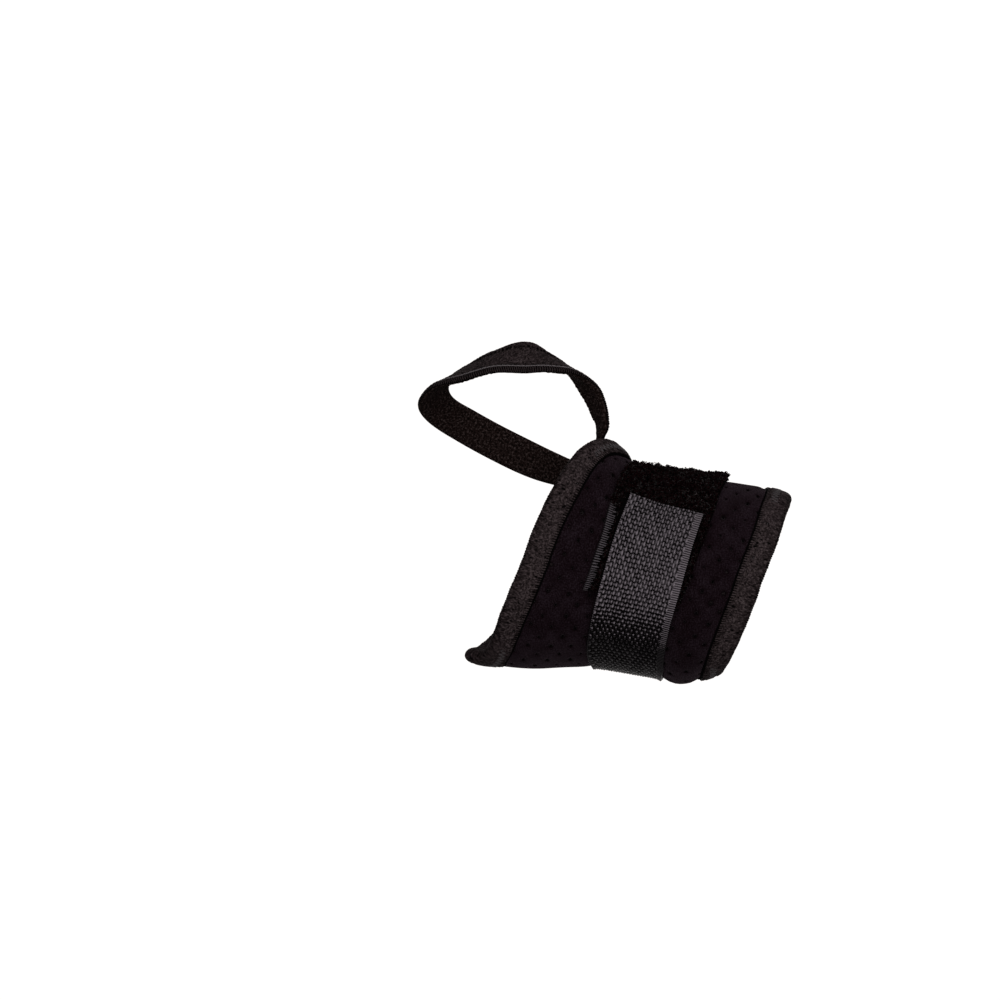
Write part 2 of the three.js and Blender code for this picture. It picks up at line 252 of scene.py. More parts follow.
def make_piece(name, points, faces, cloth, *materials, limits=(), lining=None):
    """A smooth-shaded piece that rides on the only body.

    cloth has each point's place on the flat cloth, in millimetres, and its rise out of the weave, 0 to 1.
    Low rise darkens the colours as painted shade.
    Materials go on faces by their mean rise, from the lowest up, parted at the limits.
    A lining goes on the second group of faces.
    """
    mesh = bpy.data.meshes.new(name)
    mesh.vertices.add(len(points))
    mesh.vertices.foreach_set("co", (points * MM).astype(np.float32).ravel())
    sizes = np.concatenate([np.full(len(part), part.shape[1]) for part in faces])
    corners = np.concatenate([part.ravel() for part in faces])
    mesh.loops.add(len(corners))
    mesh.loops.foreach_set("vertex_index", corners.astype(np.int32))
    mesh.polygons.add(len(sizes))
    starts = np.concatenate([[0], np.cumsum(sizes)[:-1]])
    mesh.polygons.foreach_set("loop_start", starts.astype(np.int32))
    mesh.polygons.foreach_set("use_smooth", np.ones(len(sizes), bool))
    levels = [np.digitize(cloth[part, 2].mean(1), limits) for part in faces]
    if lining:
        levels[1][:] = len(materials)
        materials = (*materials, lining)
    for material in materials:
        mesh.materials.append(material)
    mesh.polygons.foreach_set("material_index", np.concatenate(levels).astype(np.int32))
    place = mesh.attributes.new("cloth", "FLOAT_VECTOR", "POINT")
    place.data.foreach_set("vector", cloth.astype(np.float32).ravel())
    mesh.update(calc_edges=True)
    piece = add_object(name, mesh)
    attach(piece, "root")
    return piece


def grid_numbers(rows, columns, first=0):
    return first + np.arange((rows + 1) * (columns + 1)).reshape(rows + 1, columns + 1)


def grid_quads(numbers):
    corners = (numbers[:-1, :-1], numbers[1:, :-1], numbers[1:, 1:], numbers[:-1, 1:])
    return np.stack(corners, -1).reshape(-1, 4)


def rim_of(numbers):
    return np.concatenate([numbers[0, :-1], numbers[:-1, -1], numbers[-1, :0:-1], numbers[:0:-1, 0]])


def thick_sheet(outer, inner, along, across, rise):
    """A closed wall with a fine outer grid and a coarse inner grid, joined along all four rims."""
    inner = inner[::COARSE, ::COARSE]
    outer_numbers = grid_numbers(outer.shape[0] - 1, outer.shape[1] - 1)
    inner_numbers = grid_numbers(inner.shape[0] - 1, inner.shape[1] - 1, outer_numbers.size)
    fine = rim_of(outer_numbers)
    coarse = rim_of(inner_numbers)
    o = [np.roll(fine, -k)[::COARSE] for k in range(COARSE + 1)]
    here = coarse
    after = np.roll(coarse, -1)
    rim = np.concatenate([
        np.stack([o[1], o[0], here], 1),
        np.stack([o[2], o[1], here], 1),
        np.stack([o[2], here, after], 1),
        np.stack([o[3], o[2], after], 1),
        np.stack([o[4], o[3], after], 1),
    ])
    place = np.stack(np.broadcast_arrays(along[:, None], across[None, :], rise), -1)
    hidden = place[::COARSE, ::COARSE] * (1, 1, 0)
    points = np.concatenate([outer.reshape(-1, 3), inner.reshape(-1, 3)])
    cloth = np.concatenate([place.reshape(-1, 3), hidden.reshape(-1, 3)])
    return points, [grid_quads(outer_numbers)[:, ::-1], grid_quads(inner_numbers), rim], cloth


def threads(paths, across, radius, sides):
    """Round closed threads along paths, an array of lines of points. across is square to each path."""
    count, steps, _ = paths.shape
    along = unit(np.gradient(paths, axis=1))
    side = unit(square_to(along, across))
    up = np.cross(side, along)
    angle = 2 * np.pi * np.arange(sides) / sides
    round_it = np.cos(angle)[:, None] * side[:, :, None] + np.sin(angle)[:, None] * up[:, :, None]
    radius = np.broadcast_to(radius, (count, steps))[:, :, None, None]
    points = (paths[:, :, None] + radius * round_it).reshape(-1, 3)
    numbers = np.arange(count * steps * sides).reshape(count, steps, sides)
    turned = np.roll(numbers, -1, axis=2)
    walls = np.stack([numbers[:, :-1], numbers[:, 1:], turned[:, 1:], turned[:, :-1]], -1).reshape(-1, 4)
    fan = np.array([(0, k, k + 1) for k in range(1, sides - 1)])
    ends = (numbers[:, 0, fan], numbers[:, -1, fan[:, [0, 2, 1]]])
    caps = np.concatenate([end.reshape(-1, 3) for end in ends])
    share = np.linspace(0, 1, steps)
    cloth = np.stack(np.broadcast_arrays(
        np.arange(count)[:, None, None] * 0.618, share[None, :, None], angle[None, None, :]), -1)
    return points, [walls, caps], cloth.reshape(-1, 3)


def grain(shape):
    """Random relief, about -2 to 2, a little smoothed along the cloth."""
    rough = rng.normal(size=shape)
    rough = np.roll(rough, 1, 0) + 2 * rough + np.roll(rough, -1, 0)
    return rough / rough.std()


# Materials

def set_inputs(node, values):
    for socket, value in values.items():
        node.inputs[socket].default_value = value


def new_material(name, roughness, specular, tint=(1.0, 1.0, 1.0), sheen=0.0):
    material = bpy.data.materials.new(name)
    material.use_nodes = True
    tree = material.node_tree
    shader = tree.nodes["Principled BSDF"]
    set_inputs(shader, {
        "Roughness": roughness,
        "Specular IOR Level": specular,
        "Specular Tint": (*tint, 1.0),
        "Sheen Weight": sheen,
        "Sheen Tint": (*tint, 1.0),
    })
    return material, tree, shader


def cloth_place(tree, scale=(1, 1, 0)):
    """Each point's place on the flat cloth, in millimetres, stretched by a scale."""
    place = tree.nodes.new("ShaderNodeAttribute")
    place.attribute_name = "cloth"
    mapping = tree.nodes.new("ShaderNodeMapping")
    mapping.inputs["Scale"].default_value = scale
    tree.links.new(place.outputs["Vector"], mapping.inputs["Vector"])
    return mapping.outputs["Vector"]


def cloth_rise(tree):
    """How far each point rises out of the weave; colours darken where it is low, as painted shade."""
    split = tree.nodes.new("ShaderNodeSeparateXYZ")
    tree.links.new(cloth_place(tree, (1, 1, 1)), split.inputs["Vector"])
    return split.outputs["Z"]


def noise(tree, place, scale, detail=3.0, roughness=0.6):
    node = tree.nodes.new("ShaderNodeTexNoise")
    set_inputs(node, {"Scale": scale, "Detail": detail, "Roughness": roughness})
    tree.links.new(place, node.inputs["Vector"])
    return node.outputs["Fac"]


def waves(tree, place, scale, direction, distortion=0.0):
    node = tree.nodes.new("ShaderNodeTexWave")
    node.bands_direction = direction
    set_inputs(node, {"Scale": scale, "Distortion": distortion, "Detail Scale": 1.5})
    tree.links.new(place, node.inputs["Vector"])
    return node.outputs["Fac"]


def colour_by(tree, shader, value, stops):
    """Sets the base colour by a value, through stops of a place and a linear colour each."""
    node = tree.nodes.new("ShaderNodeValToRGB")
    elements = node.color_ramp.elements
    while len(elements) < len(stops):
        elements.new(0.5)
    for element, (position, colour) in zip(elements, stops):
        element.position = position
        element.color = (*colour, 1.0)
    tree.links.new(value, node.inputs["Fac"])
    tree.links.new(node.outputs["Color"], shader.inputs["Base Color"])


def weighted(tree, *terms):
    """The sum of values, each times its weight."""
    total = None
    for value, weight in terms:
        node = tree.nodes.new("ShaderNodeMath")
        node.operation = "MULTIPLY_ADD"
        tree.links.new(value, node.inputs[0])
        node.inputs[1].default_value = weight
        if total is None:
            node.inputs[2].default_value = 0.0
        else:
            tree.links.new(total, node.inputs[2])
        total = node.outputs["Value"]
    return total


def bump(tree, shader, height, depth_mm, strength=1.0):
    node = tree.nodes.new("ShaderNodeBump")
    set_inputs(node, {"Strength": strength, "Distance": depth_mm * MM})
    tree.links.new(height, node.inputs["Height"])
    tree.links.new(node.outputs["Normal"], shader.inputs["Normal"])


def neoprene_material():
    material, tree, shader = new_material("neoprene", 0.9, 0.005, tint=(1.0, 0.75, 0.9), sheen=0.024)
    speckle = noise(tree, cloth_place(tree), 2.2, detail=4, roughness=0.7)
    slow = noise(tree, cloth_place(tree), 0.15, detail=2)
    # Painted shade: the rise darkens the neoprene towards each punched hole
    colour_by(tree, shader, weighted(tree, (speckle, 0.6), (slow, 0.15), (cloth_rise(tree), 0.25)), [
        (0.44, (0.0003, 0.0001, 0.0001)),
        (0.57, (0.0012, 0.0004, 0.0006)),
        (0.63, (0.0027, 0.0013, 0.0019)),
        (0.70, (0.0066, 0.0043, 0.0058)),
    ])
    wales = waves(tree, cloth_place(tree), 0.75, "X", distortion=1.5)
    courses = waves(tree, cloth_place(tree), 0.9, "Y", distortion=1.5)
    bump(tree, shader, weighted(tree, (wales, 0.5), (courses, 0.5), (speckle, 1.0)), 0.14, 0.8)
    return material


def knit_material():
    material, tree, shader = new_material("knit_tape", 0.6, 0.05, tint=(1.0, 0.82, 0.83))
    heather = noise(tree, cloth_place(tree, (1.2, 1.0, 0)), 2.4, detail=4, roughness=0.7)
    # Painted shade: darker where the rise is low, in grooves, rib gaps and pinholes; the heather is the
    # yarn's own
    colour_by(tree, shader, weighted(tree, (cloth_rise(tree), 0.7), (heather, 0.75)), [
        (0.40, (0.0003, 0.0001, 0.0001)),
        (0.66, (0.0018, 0.0009, 0.0010)),
        (0.84, (0.0090, 0.0062, 0.0065)),
        (1.00, (0.0210, 0.0156, 0.0162)),
    ])
    courses = waves(tree, cloth_place(tree), 0.6, "X", distortion=3.0)
    bump(tree, shader, weighted(tree, (courses, 0.5), (heather, 1.0)), 0.2, 0.9)
    return material


def painted_shade_material():
    """A near-black painted shade for faces that sink between yarns, in grooves and below the pile."""
    material, tree, shader = new_material("painted_shade_cloth", 0.9, 0.01)
    fuzz = noise(tree, cloth_place(tree), 3.0)
    colour_by(tree, shader, fuzz, [(0.4, (0.0001, 0.0001, 0.0001)), (0.7, (0.0010, 0.0006, 0.0007))])
    bump(tree, shader, fuzz, 0.05, 0.6)
    return material


def terry_material():
    """The rough inner face of the loop's tape."""
    material, tree, shader = new_material("terry", 0.85, 0.02)
    curls = noise(tree, cloth_place(tree), 1.3, detail=4, roughness=0.65)
    colour_by(tree, shader, curls, [
        (0.40, (0.0008, 0.0003, 0.0002)),
        (0.53, (0.0050, 0.0025, 0.0022)),
        (0.66, (0.0230, 0.0165, 0.0158)),
    ])
    bump(tree, shader, curls, 0.5, 1.0)
    return material


def yarn_material(name, roughness, specular, stretch, scale, stops, depth_mm, strength):
    """Yarns of fine filaments, with painted shade: lighter where they rise, darker where they sink."""
    material, tree, shader = new_material(name, roughness, specular, tint=(1.0, 0.86, 0.96))
    filament = noise(tree, cloth_place(tree, stretch), scale)
    colour_by(tree, shader, weighted(tree, (cloth_rise(tree), 0.85), (filament, 0.3)), stops)
    bump(tree, shader, filament, depth_mm, strength)
    return material


def webbing_material(name, specular):
    return yarn_material(name, 0.19, specular, (0.8, 6.0, 0), 1.6, [
        (0.30, (0.0002, 0.0001, 0.0001)),
        (0.60, (0.0007, 0.0005, 0.0006)),
        (0.98, (0.0030, 0.0025, 0.0028)),
    ], 0.04, 0.5)


def pile_material():
    material, tree, shader = new_material("pile", 0.6, 0.008)
    strands = noise(tree, cloth_place(tree, (1.7, 1.7, 0)), 1.0, detail=3)
    tufts = noise(tree, tree.nodes.new("ShaderNodeTexCoord").outputs["Object"], 620.0, detail=1)
    colour_by(tree, shader, weighted(tree, (strands, 0.8), (tufts, 0.2)), [
        (0.43, (0.0001, 0.0001, 0.0001)),
        (0.51, (0.0034, 0.0006, 0.0009)),
        (0.57, (0.0037, 0.0039, 0.0038)),
        (0.67, (0.0200, 0.0156, 0.0164)),
    ])
    bump(tree, shader, strands, 0.3, 0.8)
    return material


def patch_material():
    """The ribs of the patch's bare selvedge."""
    return yarn_material("patch_cloth", 0.5, 0.27, (1, 3, 0), 1.5, [
        (0.30, (0.0004, 0.0003, 0.0003)),
        (0.60, (0.0022, 0.0017, 0.0020)),
        (1.00, (0.0070, 0.0059, 0.0066)),
    ], 0.1, 0.6)


def thread_material(name, brightness):
    material, tree, shader = new_material(name, 0.6, 0.1)
    ply = waves(tree, cloth_place(tree, (3, 9, 1)), 1.0, "DIAGONAL", distortion=0.5)
    # Painted shade: the thread is darker in the grooves of its twist, where the bump sinks
    dark, light = np.outer((0.4, 1.0), (1.0, 0.86, 0.9)) * brightness
    colour_by(tree, shader, ply, [(0.1, dark), (0.8, light)])
    bump(tree, shader, ply, 0.05, 0.6)
    return material


def floor_material():
    """A pale floor that glows in a round pool below the object."""
    material, tree, shader = new_material("pale_floor", 0.9, 0.1)
    place = tree.nodes.new("ShaderNodeTexCoord").outputs["Object"]
    paper = noise(tree, place, 60.0)
    colour_by(tree, shader, paper, [(0.3, (0.125, 0.125, 0.125)), (0.7, (0.135, 0.135, 0.135))])
    distance = tree.nodes.new("ShaderNodeVectorMath")
    distance.operation = "LENGTH"
    tree.links.new(place, distance.inputs[0])
    pool = tree.nodes.new("ShaderNodeMapRange")
    pool.interpolation_type = "SMOOTHSTEP"
    set_inputs(pool, {"From Min": 0.63, "From Max": 0.75, "To Min": 0.93, "To Max": 0.24})
    tree.links.new(distance.outputs["Value"], pool.inputs["Value"])
    tree.links.new(pool.outputs["Result"], shader.inputs["Emission Strength"])
    shader.inputs["Emission Color"].default_value = (1.0, 0.975, 0.96, 1.0)
    return material


# The panel: neoprene with punched holes

CELL = 3.4  # every other cell of the cloth has a hole near its middle
CUTS = 3  # mesh steps along a cell's side
HOLE_RADIUS = 0.4
HOLE_LIP = 0.9  # radius at which the cloth starts to dip towards a hole
HOLE_DIP = 0.26
HOLE_SIZES = (0.55, 1.15)  # least and greatest, as shares of these radii
HOLE_STRAY = 0.5  # how far a hole may lie from its cell's middle
PRESSED = 0.5  # how far the sewn tape presses into the panel's outer face
PRESSED_INSIDE = 0.6  # the share of that on its inner face
PRESS_FADE = (-0.6, 2.6)  # where the press fades out, from the tape's sewn edge


def pressed(edge, degrees, x):
    """How far the panel's faces are pressed in by the tape that is sewn round an edge."""
    distance = (x - edge_at(edge, degrees)) / step_from_edge(edge, degrees)
    tape = tape_at(edge, PANEL_START - degrees)
    return PRESSED * (1 - smoothstep(distance - tape, *PRESS_FADE))


def panel_points(turned, x, outer):
    degrees = PANEL_START - turned
    depth = pressed("front", degrees, x) + pressed("rear", degrees, x)
    height = np.where(outer, WALL - depth, PRESSED_INSIDE * depth)
    return above(x, degrees, height + panel_lift(turned))


def build_panel(material):
    dense = np.linspace(0, PANEL_TURN, 4001)
    along = lengths(above(0.0, PANEL_START - dense, WALL + panel_lift(dense)))
    cells_round = round(along[-1] / CELL)
    rows = cells_round * CUTS
    u = np.linspace(0, along[-1], rows + 1)
    turned = np.interp(u, along, dense)
    degrees = PANEL_START - turned
    front = edge_at("front", degrees)
    rear = edge_at("rear", degrees)
    first_cell = math.floor(front.min() / CELL) - 1
    last_cell = math.ceil(rear.max() / CELL) + 1
    columns = (last_cell - first_cell) * CUTS
    step = CELL / CUTS
    grid_x = (first_cell * CUTS + np.arange(columns + 1)) * step

    # Grid points beyond an edge are drawn in to it, so that the mesh ends exactly on the cut line.
    near = 0.35 * step
    low = np.searchsorted(grid_x, front + near, "right") - 1
    high = np.searchsorted(grid_x, rear - near)
    clipped = np.clip(np.arange(columns + 1)[None, :], low[:, None], high[:, None])
    x = np.clip(grid_x[clipped], front[:, None], rear[:, None])
    x = np.where(clipped == low[:, None], front[:, None], x)
    x = np.where(clipped == high[:, None], rear[:, None], x)
    keys = clipped + np.arange(rows + 1)[:, None] * (columns + 1)
    _, first_at, numbers = np.unique(keys, return_index=True, return_inverse=True)
    numbers = numbers.reshape(keys.shape)
    flat_u = np.broadcast_to(u[:, None], x.shape).ravel()[first_at]
    flat_x = x.ravel()[first_at]

    # Cells with a hole: every other one that lies wholly inside the edges
    cell_i, cell_j = np.indices((cells_round, columns // CUTS))[:, 1:-1].reshape(2, -1)
    corner = np.arange(CUTS + 1)
    cell_rows = cell_i[:, None] * CUTS + corner
    inside = (cell_i + cell_j) % 2 == 0
    inside &= low[cell_rows].max(1) < cell_j * CUTS
    inside &= high[cell_rows].min(1) > (cell_j + 1) * CUTS
    cell_i = cell_i[inside]
    cell_j = cell_j[inside]
    holes = len(cell_i)

    quads = grid_quads(numbers)
    kept = np.ones((rows, columns), bool)
    for di in range(CUTS):
        for dj in range(CUTS):
            kept[cell_i * CUTS + di, cell_j * CUTS + dj] = False
    quads = quads[kept.ravel()]
    low_flat = quads[:, 0] == quads[:, 3]
    high_flat = quads[:, 1] == quads[:, 2]
    triangles = np.concatenate([
        quads[low_flat & ~high_flat][:, :3],
        quads[high_flat & ~low_flat][:, [0, 1, 3]],
    ])
    quads = quads[~low_flat & ~high_flat]

    # Rings of points round each hole, matched to the points on its cell's border
    border_i = np.concatenate([corner[:-1], np.full(CUTS, CUTS), corner[:0:-1], np.zeros(CUTS, int)])
    border_j = np.concatenate([np.zeros(CUTS, int), corner[:-1], np.full(CUTS, CUTS), corner[:0:-1]])
    around = np.arctan2(border_j - CUTS / 2, border_i - CUTS / 2)
    border = numbers[cell_i[:, None] * CUTS + border_i, cell_j[:, None] * CUTS + border_j]
    middle_u = (cell_i + 0.5) * (along[-1] / cells_round) + rng.uniform(-HOLE_STRAY, HOLE_STRAY, holes)
    middle_x = grid_x[cell_j * CUTS] + CELL / 2 + rng.uniform(-HOLE_STRAY, HOLE_STRAY, holes)
    size = rng.uniform(*HOLE_SIZES, holes)

    def ring(radius):
        ring_u = middle_u[:, None] + radius * size[:, None] * np.cos(around)
        ring_x = middle_x[:, None] + radius * size[:, None] * np.sin(around)
        return ring_u.ravel(), ring_x.ravel()

    def place(at_u, at_x, outer, sunk=0.0):
        at_turned = np.interp(at_u, along, dense)
        points = panel_points(at_turned, at_x, outer)
        if sunk:
            points = points + (panel_points(at_turned, at_x, not outer) - points) * (sunk / WALL)
        return points

    lip = ring(HOLE_LIP)
    bore = ring(HOLE_RADIUS)
    parts = []
    for outer in (True, False):
        parts += [place(flat_u, flat_x, outer), place(*lip, outer), place(*bore, outer, sunk=HOLE_DIP)]
    starts = np.concatenate([[0], np.cumsum([len(part) for part in parts])])
    rings = [starts[k] + np.arange(holes * len(around)).reshape(holes, -1) for k in (1, 2, 4, 5)]
    lip_out, bore_out, lip_in, bore_in = rings
    inner_border = border + starts[3]

    def between(one, other):
        return np.stack([one, np.roll(one, -1, 1), np.roll(other, -1, 1), other], -1).reshape(-1, 4)

    faces = [
        quads[:, ::-1], triangles[:, ::-1],
        quads + starts[3], triangles + starts[3],
        between(border, lip_out)[:, ::-1], between(lip_out, bore_out)[:, ::-1],
        between(bore_out, bore_in)[:, ::-1],
        between(inner_border, lip_in), between(lip_in, bore_in),
    ]
    edge_low = numbers[np.arange(rows + 1), low]
    edge_high = numbers[np.arange(rows + 1), high]
    start_rim = numbers[0, low[0]:high[0] + 1]
    end_rim = numbers[-1, low[-1]:high[-1] + 1]
    for rim, flip in ((edge_low, True), (edge_high, False), (start_rim, False), (end_rim, True)):
        wall = np.stack([rim[:-1], rim[1:], rim[1:] + starts[3], rim[:-1] + starts[3]], 1)
        faces.append(wall[:, ::-1] if flip else wall)
    # Rise falls from the lip to 0 in the bore, as painted shade in each hole
    rises = (((flat_u, flat_x), 1.0), (lip, 0.9), (bore, 0.0))
    cloth = np.concatenate([np.stack(np.broadcast_arrays(*at, rise), 1) for at, rise in rises] * 2)
    return make_piece("neoprene_panel", np.concatenate(parts), faces, cloth, material)


# The bindings: knit tape folded over the panel's front and rear edges

RIB_PITCH = 0.8  # ribs along the tape's sewn edge
RIB_CUTS = 5  # mesh steps along the tape for each rib
RIB_LENGTH = 1.5
RIB_DEPTH = 0.2
LIP = 0.34  # width of the groove beside the sewn edge, painted dark as shade
LIP_SLOPE = 0.3  # width of the slope up from it
LIP_THICKNESS = 0.12
PINHOLES = 60
FLECKS = 900
COLUMN_WIDTH = 0.35  # mean width of a mesh column on the flat tape
TAPE_INSIDE = WALL / 2 + 0.12
TAPE_OUTSIDE = WALL / 2 + GAP + TAPE


def off_lip(from_sewn):
    """0 in the groove beside the sewn edge, 1 on the tape's face."""
    return smoothstep(from_sewn, LIP, LIP + LIP_SLOPE)


def tape_thickness(from_sewn, share):
    full = TAPE_OUTSIDE - TAPE_INSIDE - 0.2 * smoothstep(share, 0.2, 1.0)
    return LIP_THICKNESS + (full - LIP_THICKNESS) * off_lip(from_sewn)


def spots(along, across, count, length, width):
    """Small long spots strewn over a tape, each lying its own way."""
    total = np.zeros((len(along), across.shape[-1]))
    middles = rng.uniform(0, along[-1], count)
    shares = rng.uniform(0.1, 0.95, count)
    turns = rng.uniform(0, np.pi, count)
    for at, out, turn in zip(middles, shares, turns):
        rows = np.flatnonzero(np.abs(along - at) < 3 * length)
        du = along[rows, None] - at
        dw = across[rows] - out * across[rows].max(1, keepdims=True)
        p = (du * np.cos(turn) + dw * np.sin(turn)) / length
        q = (dw * np.cos(turn) - du * np.sin(turn)) / width
        total[rows] = np.maximum(total[rows], np.exp(-p * p - q * q))
    return total


def build_binding(name, edge, painted_shade, knit):
    line = lambda turned: from_edge(edge, turned, tape_at(edge, turned), WALL)
    along, turned = even_steps(line, 0, PANEL_TURN, RIB_PITCH / RIB_CUTS)
    turned = turned[:, None]
    legs = np.array([
        1, 0.965, 0.94, 0.915, 0.885, 0.85, 0.81, 0.765, 0.715, 0.66, 0.605,
        0.55, 0.495, 0.44, 0.38, 0.32, 0.26, 0.2, 0.135, 0.07, 0,
    ])
    turns = np.linspace(0, 180, 15)[1:-1]
    share = np.concatenate([legs, np.zeros(len(turns)), legs[::-1][::2]])
    fold = np.concatenate([np.zeros(len(legs)), turns, np.full((len(legs) + 1) // 2, 180.0)])
    if edge == "front":
        share = share[::-1]
        fold = fold[::-1]
    tape = tape_at(edge, turned)
    distance = share * tape
    degrees = PANEL_START - turned
    sin = np.sin(np.radians(fold))
    cos = np.cos(np.radians(fold))
    x = x_from_edge(edge, degrees, distance)
    depth = pressed(edge, degrees, x) * np.where(fold > 90, PRESSED_INSIDE, 1.0)
    from_sewn = tape - distance
    outside = fold < 90

    count = np.arange(len(along))[:, None] / RIB_CUTS
    uneven = 0.75 + 0.25 * rng.uniform(-1, 1, len(along) // RIB_CUTS + 2)[np.round(count).astype(int)]
    bar = (0.5 + 0.5 * np.cos(2 * np.pi * count)) * uneven
    raised = off_lip(from_sewn)
    comb = raised * (1 - smoothstep(from_sewn, 0.8 * RIB_LENGTH, 1.3 * RIB_LENGTH))
    bead = np.cos(2 * np.pi * count) * sin**2
    rough = grain((len(along), len(share)))
    holes = spots(along, from_sewn, PINHOLES, 0.34, 0.24) * outside
    flecks = spots(along, from_sewn, FLECKS, 0.36, 0.15) * (fold < 60)
    swell = 0.08 * np.sin(along[:, None] / 2.3 + 3 * share) * np.sin(along[:, None] / 4.1)
    detail = RIB_DEPTH * (bar - 0.7) * comb + 0.07 * bead + swell
    detail = detail + (0.05 * rough + 0.08 * flecks - 0.4 * holes) * raised
    # Painted shade: the rise darkens the pinholes, the gaps between ribs, the fold between its beads and the
    # groove by the sewn edge; the flecks are lighter yarn of its own
    rise = 0.57 + 0.19 * rough + 0.3 * flecks - 0.8 * holes
    rise = rise * (1 - comb) + (0.12 + 0.88 * bar + 0.1 * rough) * comb
    rise = rise - 0.12 * sin**2 * (1 - bead)
    rise = np.clip(rise * raised, 0, 1)

    def surface(radius):
        away = distance - radius * sin
        height = WALL / 2 + (radius - depth * np.abs(cos)) * cos
        return from_edge(edge, turned, away, height)

    outer = surface(TAPE_INSIDE + tape_thickness(from_sewn, share) + detail)
    inner = surface(np.broadcast_to(TAPE_INSIDE, detail.shape))
    across = COLUMN_WIDTH * np.arange(len(share))
    sheet = thick_sheet(outer, inner, along, across, rise)
    return make_piece(name, *sheet, painted_shade, knit, limits=(KNIT_LIMIT,))


ZIGZAG_PITCH = 1.5
ZIGZAG_CUTS = 8
ZIGZAG_ENDS = 4.0  # degrees left bare at each end of the tape
ZIGZAG_RADIUS = 0.13


def build_zigzag(name, edge, material):
    """A zigzag of thread along the middle of a tape, sunk into the knit on the top and the underside."""
    line = lambda turned: from_edge(edge, turned, 0.5 * tape_at(edge, turned), WALL)
    along, turned = even_steps(line, ZIGZAG_ENDS, PANEL_TURN - ZIGZAG_ENDS, ZIGZAG_PITCH / ZIGZAG_CUTS)
    degrees = PANEL_START - turned
    count = np.arange(len(along)) / ZIGZAG_CUTS
    swing = 2 * np.abs(2 * np.mod(count, 1) - 1) - 1
    tape = tape_at(edge, turned)
    share = 0.42 + 0.2 * swing + 0.03 * np.sin(along / 1.7)
    x = x_from_edge(edge, degrees, share * tape)
    surface = WALL / 2 + TAPE_INSIDE + tape_thickness(tape * (1 - share), share) - pressed(edge, degrees, x)
    at_side = smoothstep(np.cos(np.radians(degrees)) ** 2, 0.5, 0.85)
    sunk = 0.34 - 0.48 * at_side + 0.07 * np.sin(along / 0.9) * np.sin(along / 2.9)
    middle = from_edge(edge, turned, share * tape, surface - sunk)
    up = unit(from_edge(edge, turned, share * tape, surface + 1) - middle)
    across = np.cross(up, np.gradient(middle, axis=0))
    return make_piece(name, *threads(middle[None], across[None], ZIGZAG_RADIUS, THREAD_SIDES), material)


# The strap: plain-woven webbing with a ribbed selvedge

WARP_PITCH = 0.847
WEFT_PITCH = 1.4
WARP_RISE = 0.16  # how far a warp rises over a weft, and dives under the next
YARN_RISE = 0.2
WARP_CUTS = 4  # mesh steps across a yarn
WEFT_CUTS = 8
WEFT_SLANT = -0.06  # wefts lie square to the strap's slanting run
SELVEDGE_RIBS = 2  # ribs of the selvedge for each weft
SELVEDGES = (0.45, 2.4)  # widths at the front and the rear
WEBBING_LIMITS = (0.27, 0.6)  # rises that part the painted shade between yarns, the flanks and the crests of the yarns
STRAP_ROUND = 0.2
END_BOW = 1.0  # degrees by which the cut end bows out in its middle


def strap_line(degrees, across, height):
    x = smooth(STRAP["at"], STRAP["x"], degrees) + across
    return above(x, degrees, smooth(STRAP["at"], STRAP["lift"], degrees) + height)


def crown(share):
    """A yarn's cross-section: 1 on its top, 0 at its sides."""
    return np.clip(1 - np.abs(share) ** 2.6, 0, 1)


def weave(row, column):
    """Height of a plain weave at places counted in yarns."""
    warp = np.floor(column + 0.5)
    weft = np.floor(row + 0.5)
    along_float = np.mod(row - warp + 1, 2) - 1
    number = np.floor((row - warp + 1) / 2)
    odd = rng.uniform(-1, 1, (int(warp.max()) + 1, int(np.ptp(number)) + 1))
    odd = odd[warp.astype(int), (number - number.min()).astype(int)]
    aside = 2 * (column - warp) + 0.15 * odd
    over = WARP_RISE * np.cos(np.pi * along_float) + YARN_RISE * crown(aside) + 0.045 * odd
    under = YARN_RISE * crown(2 * (row - weft)) * np.sin(np.pi * (column - weft) / 2) ** 2
    return np.maximum(over, under)


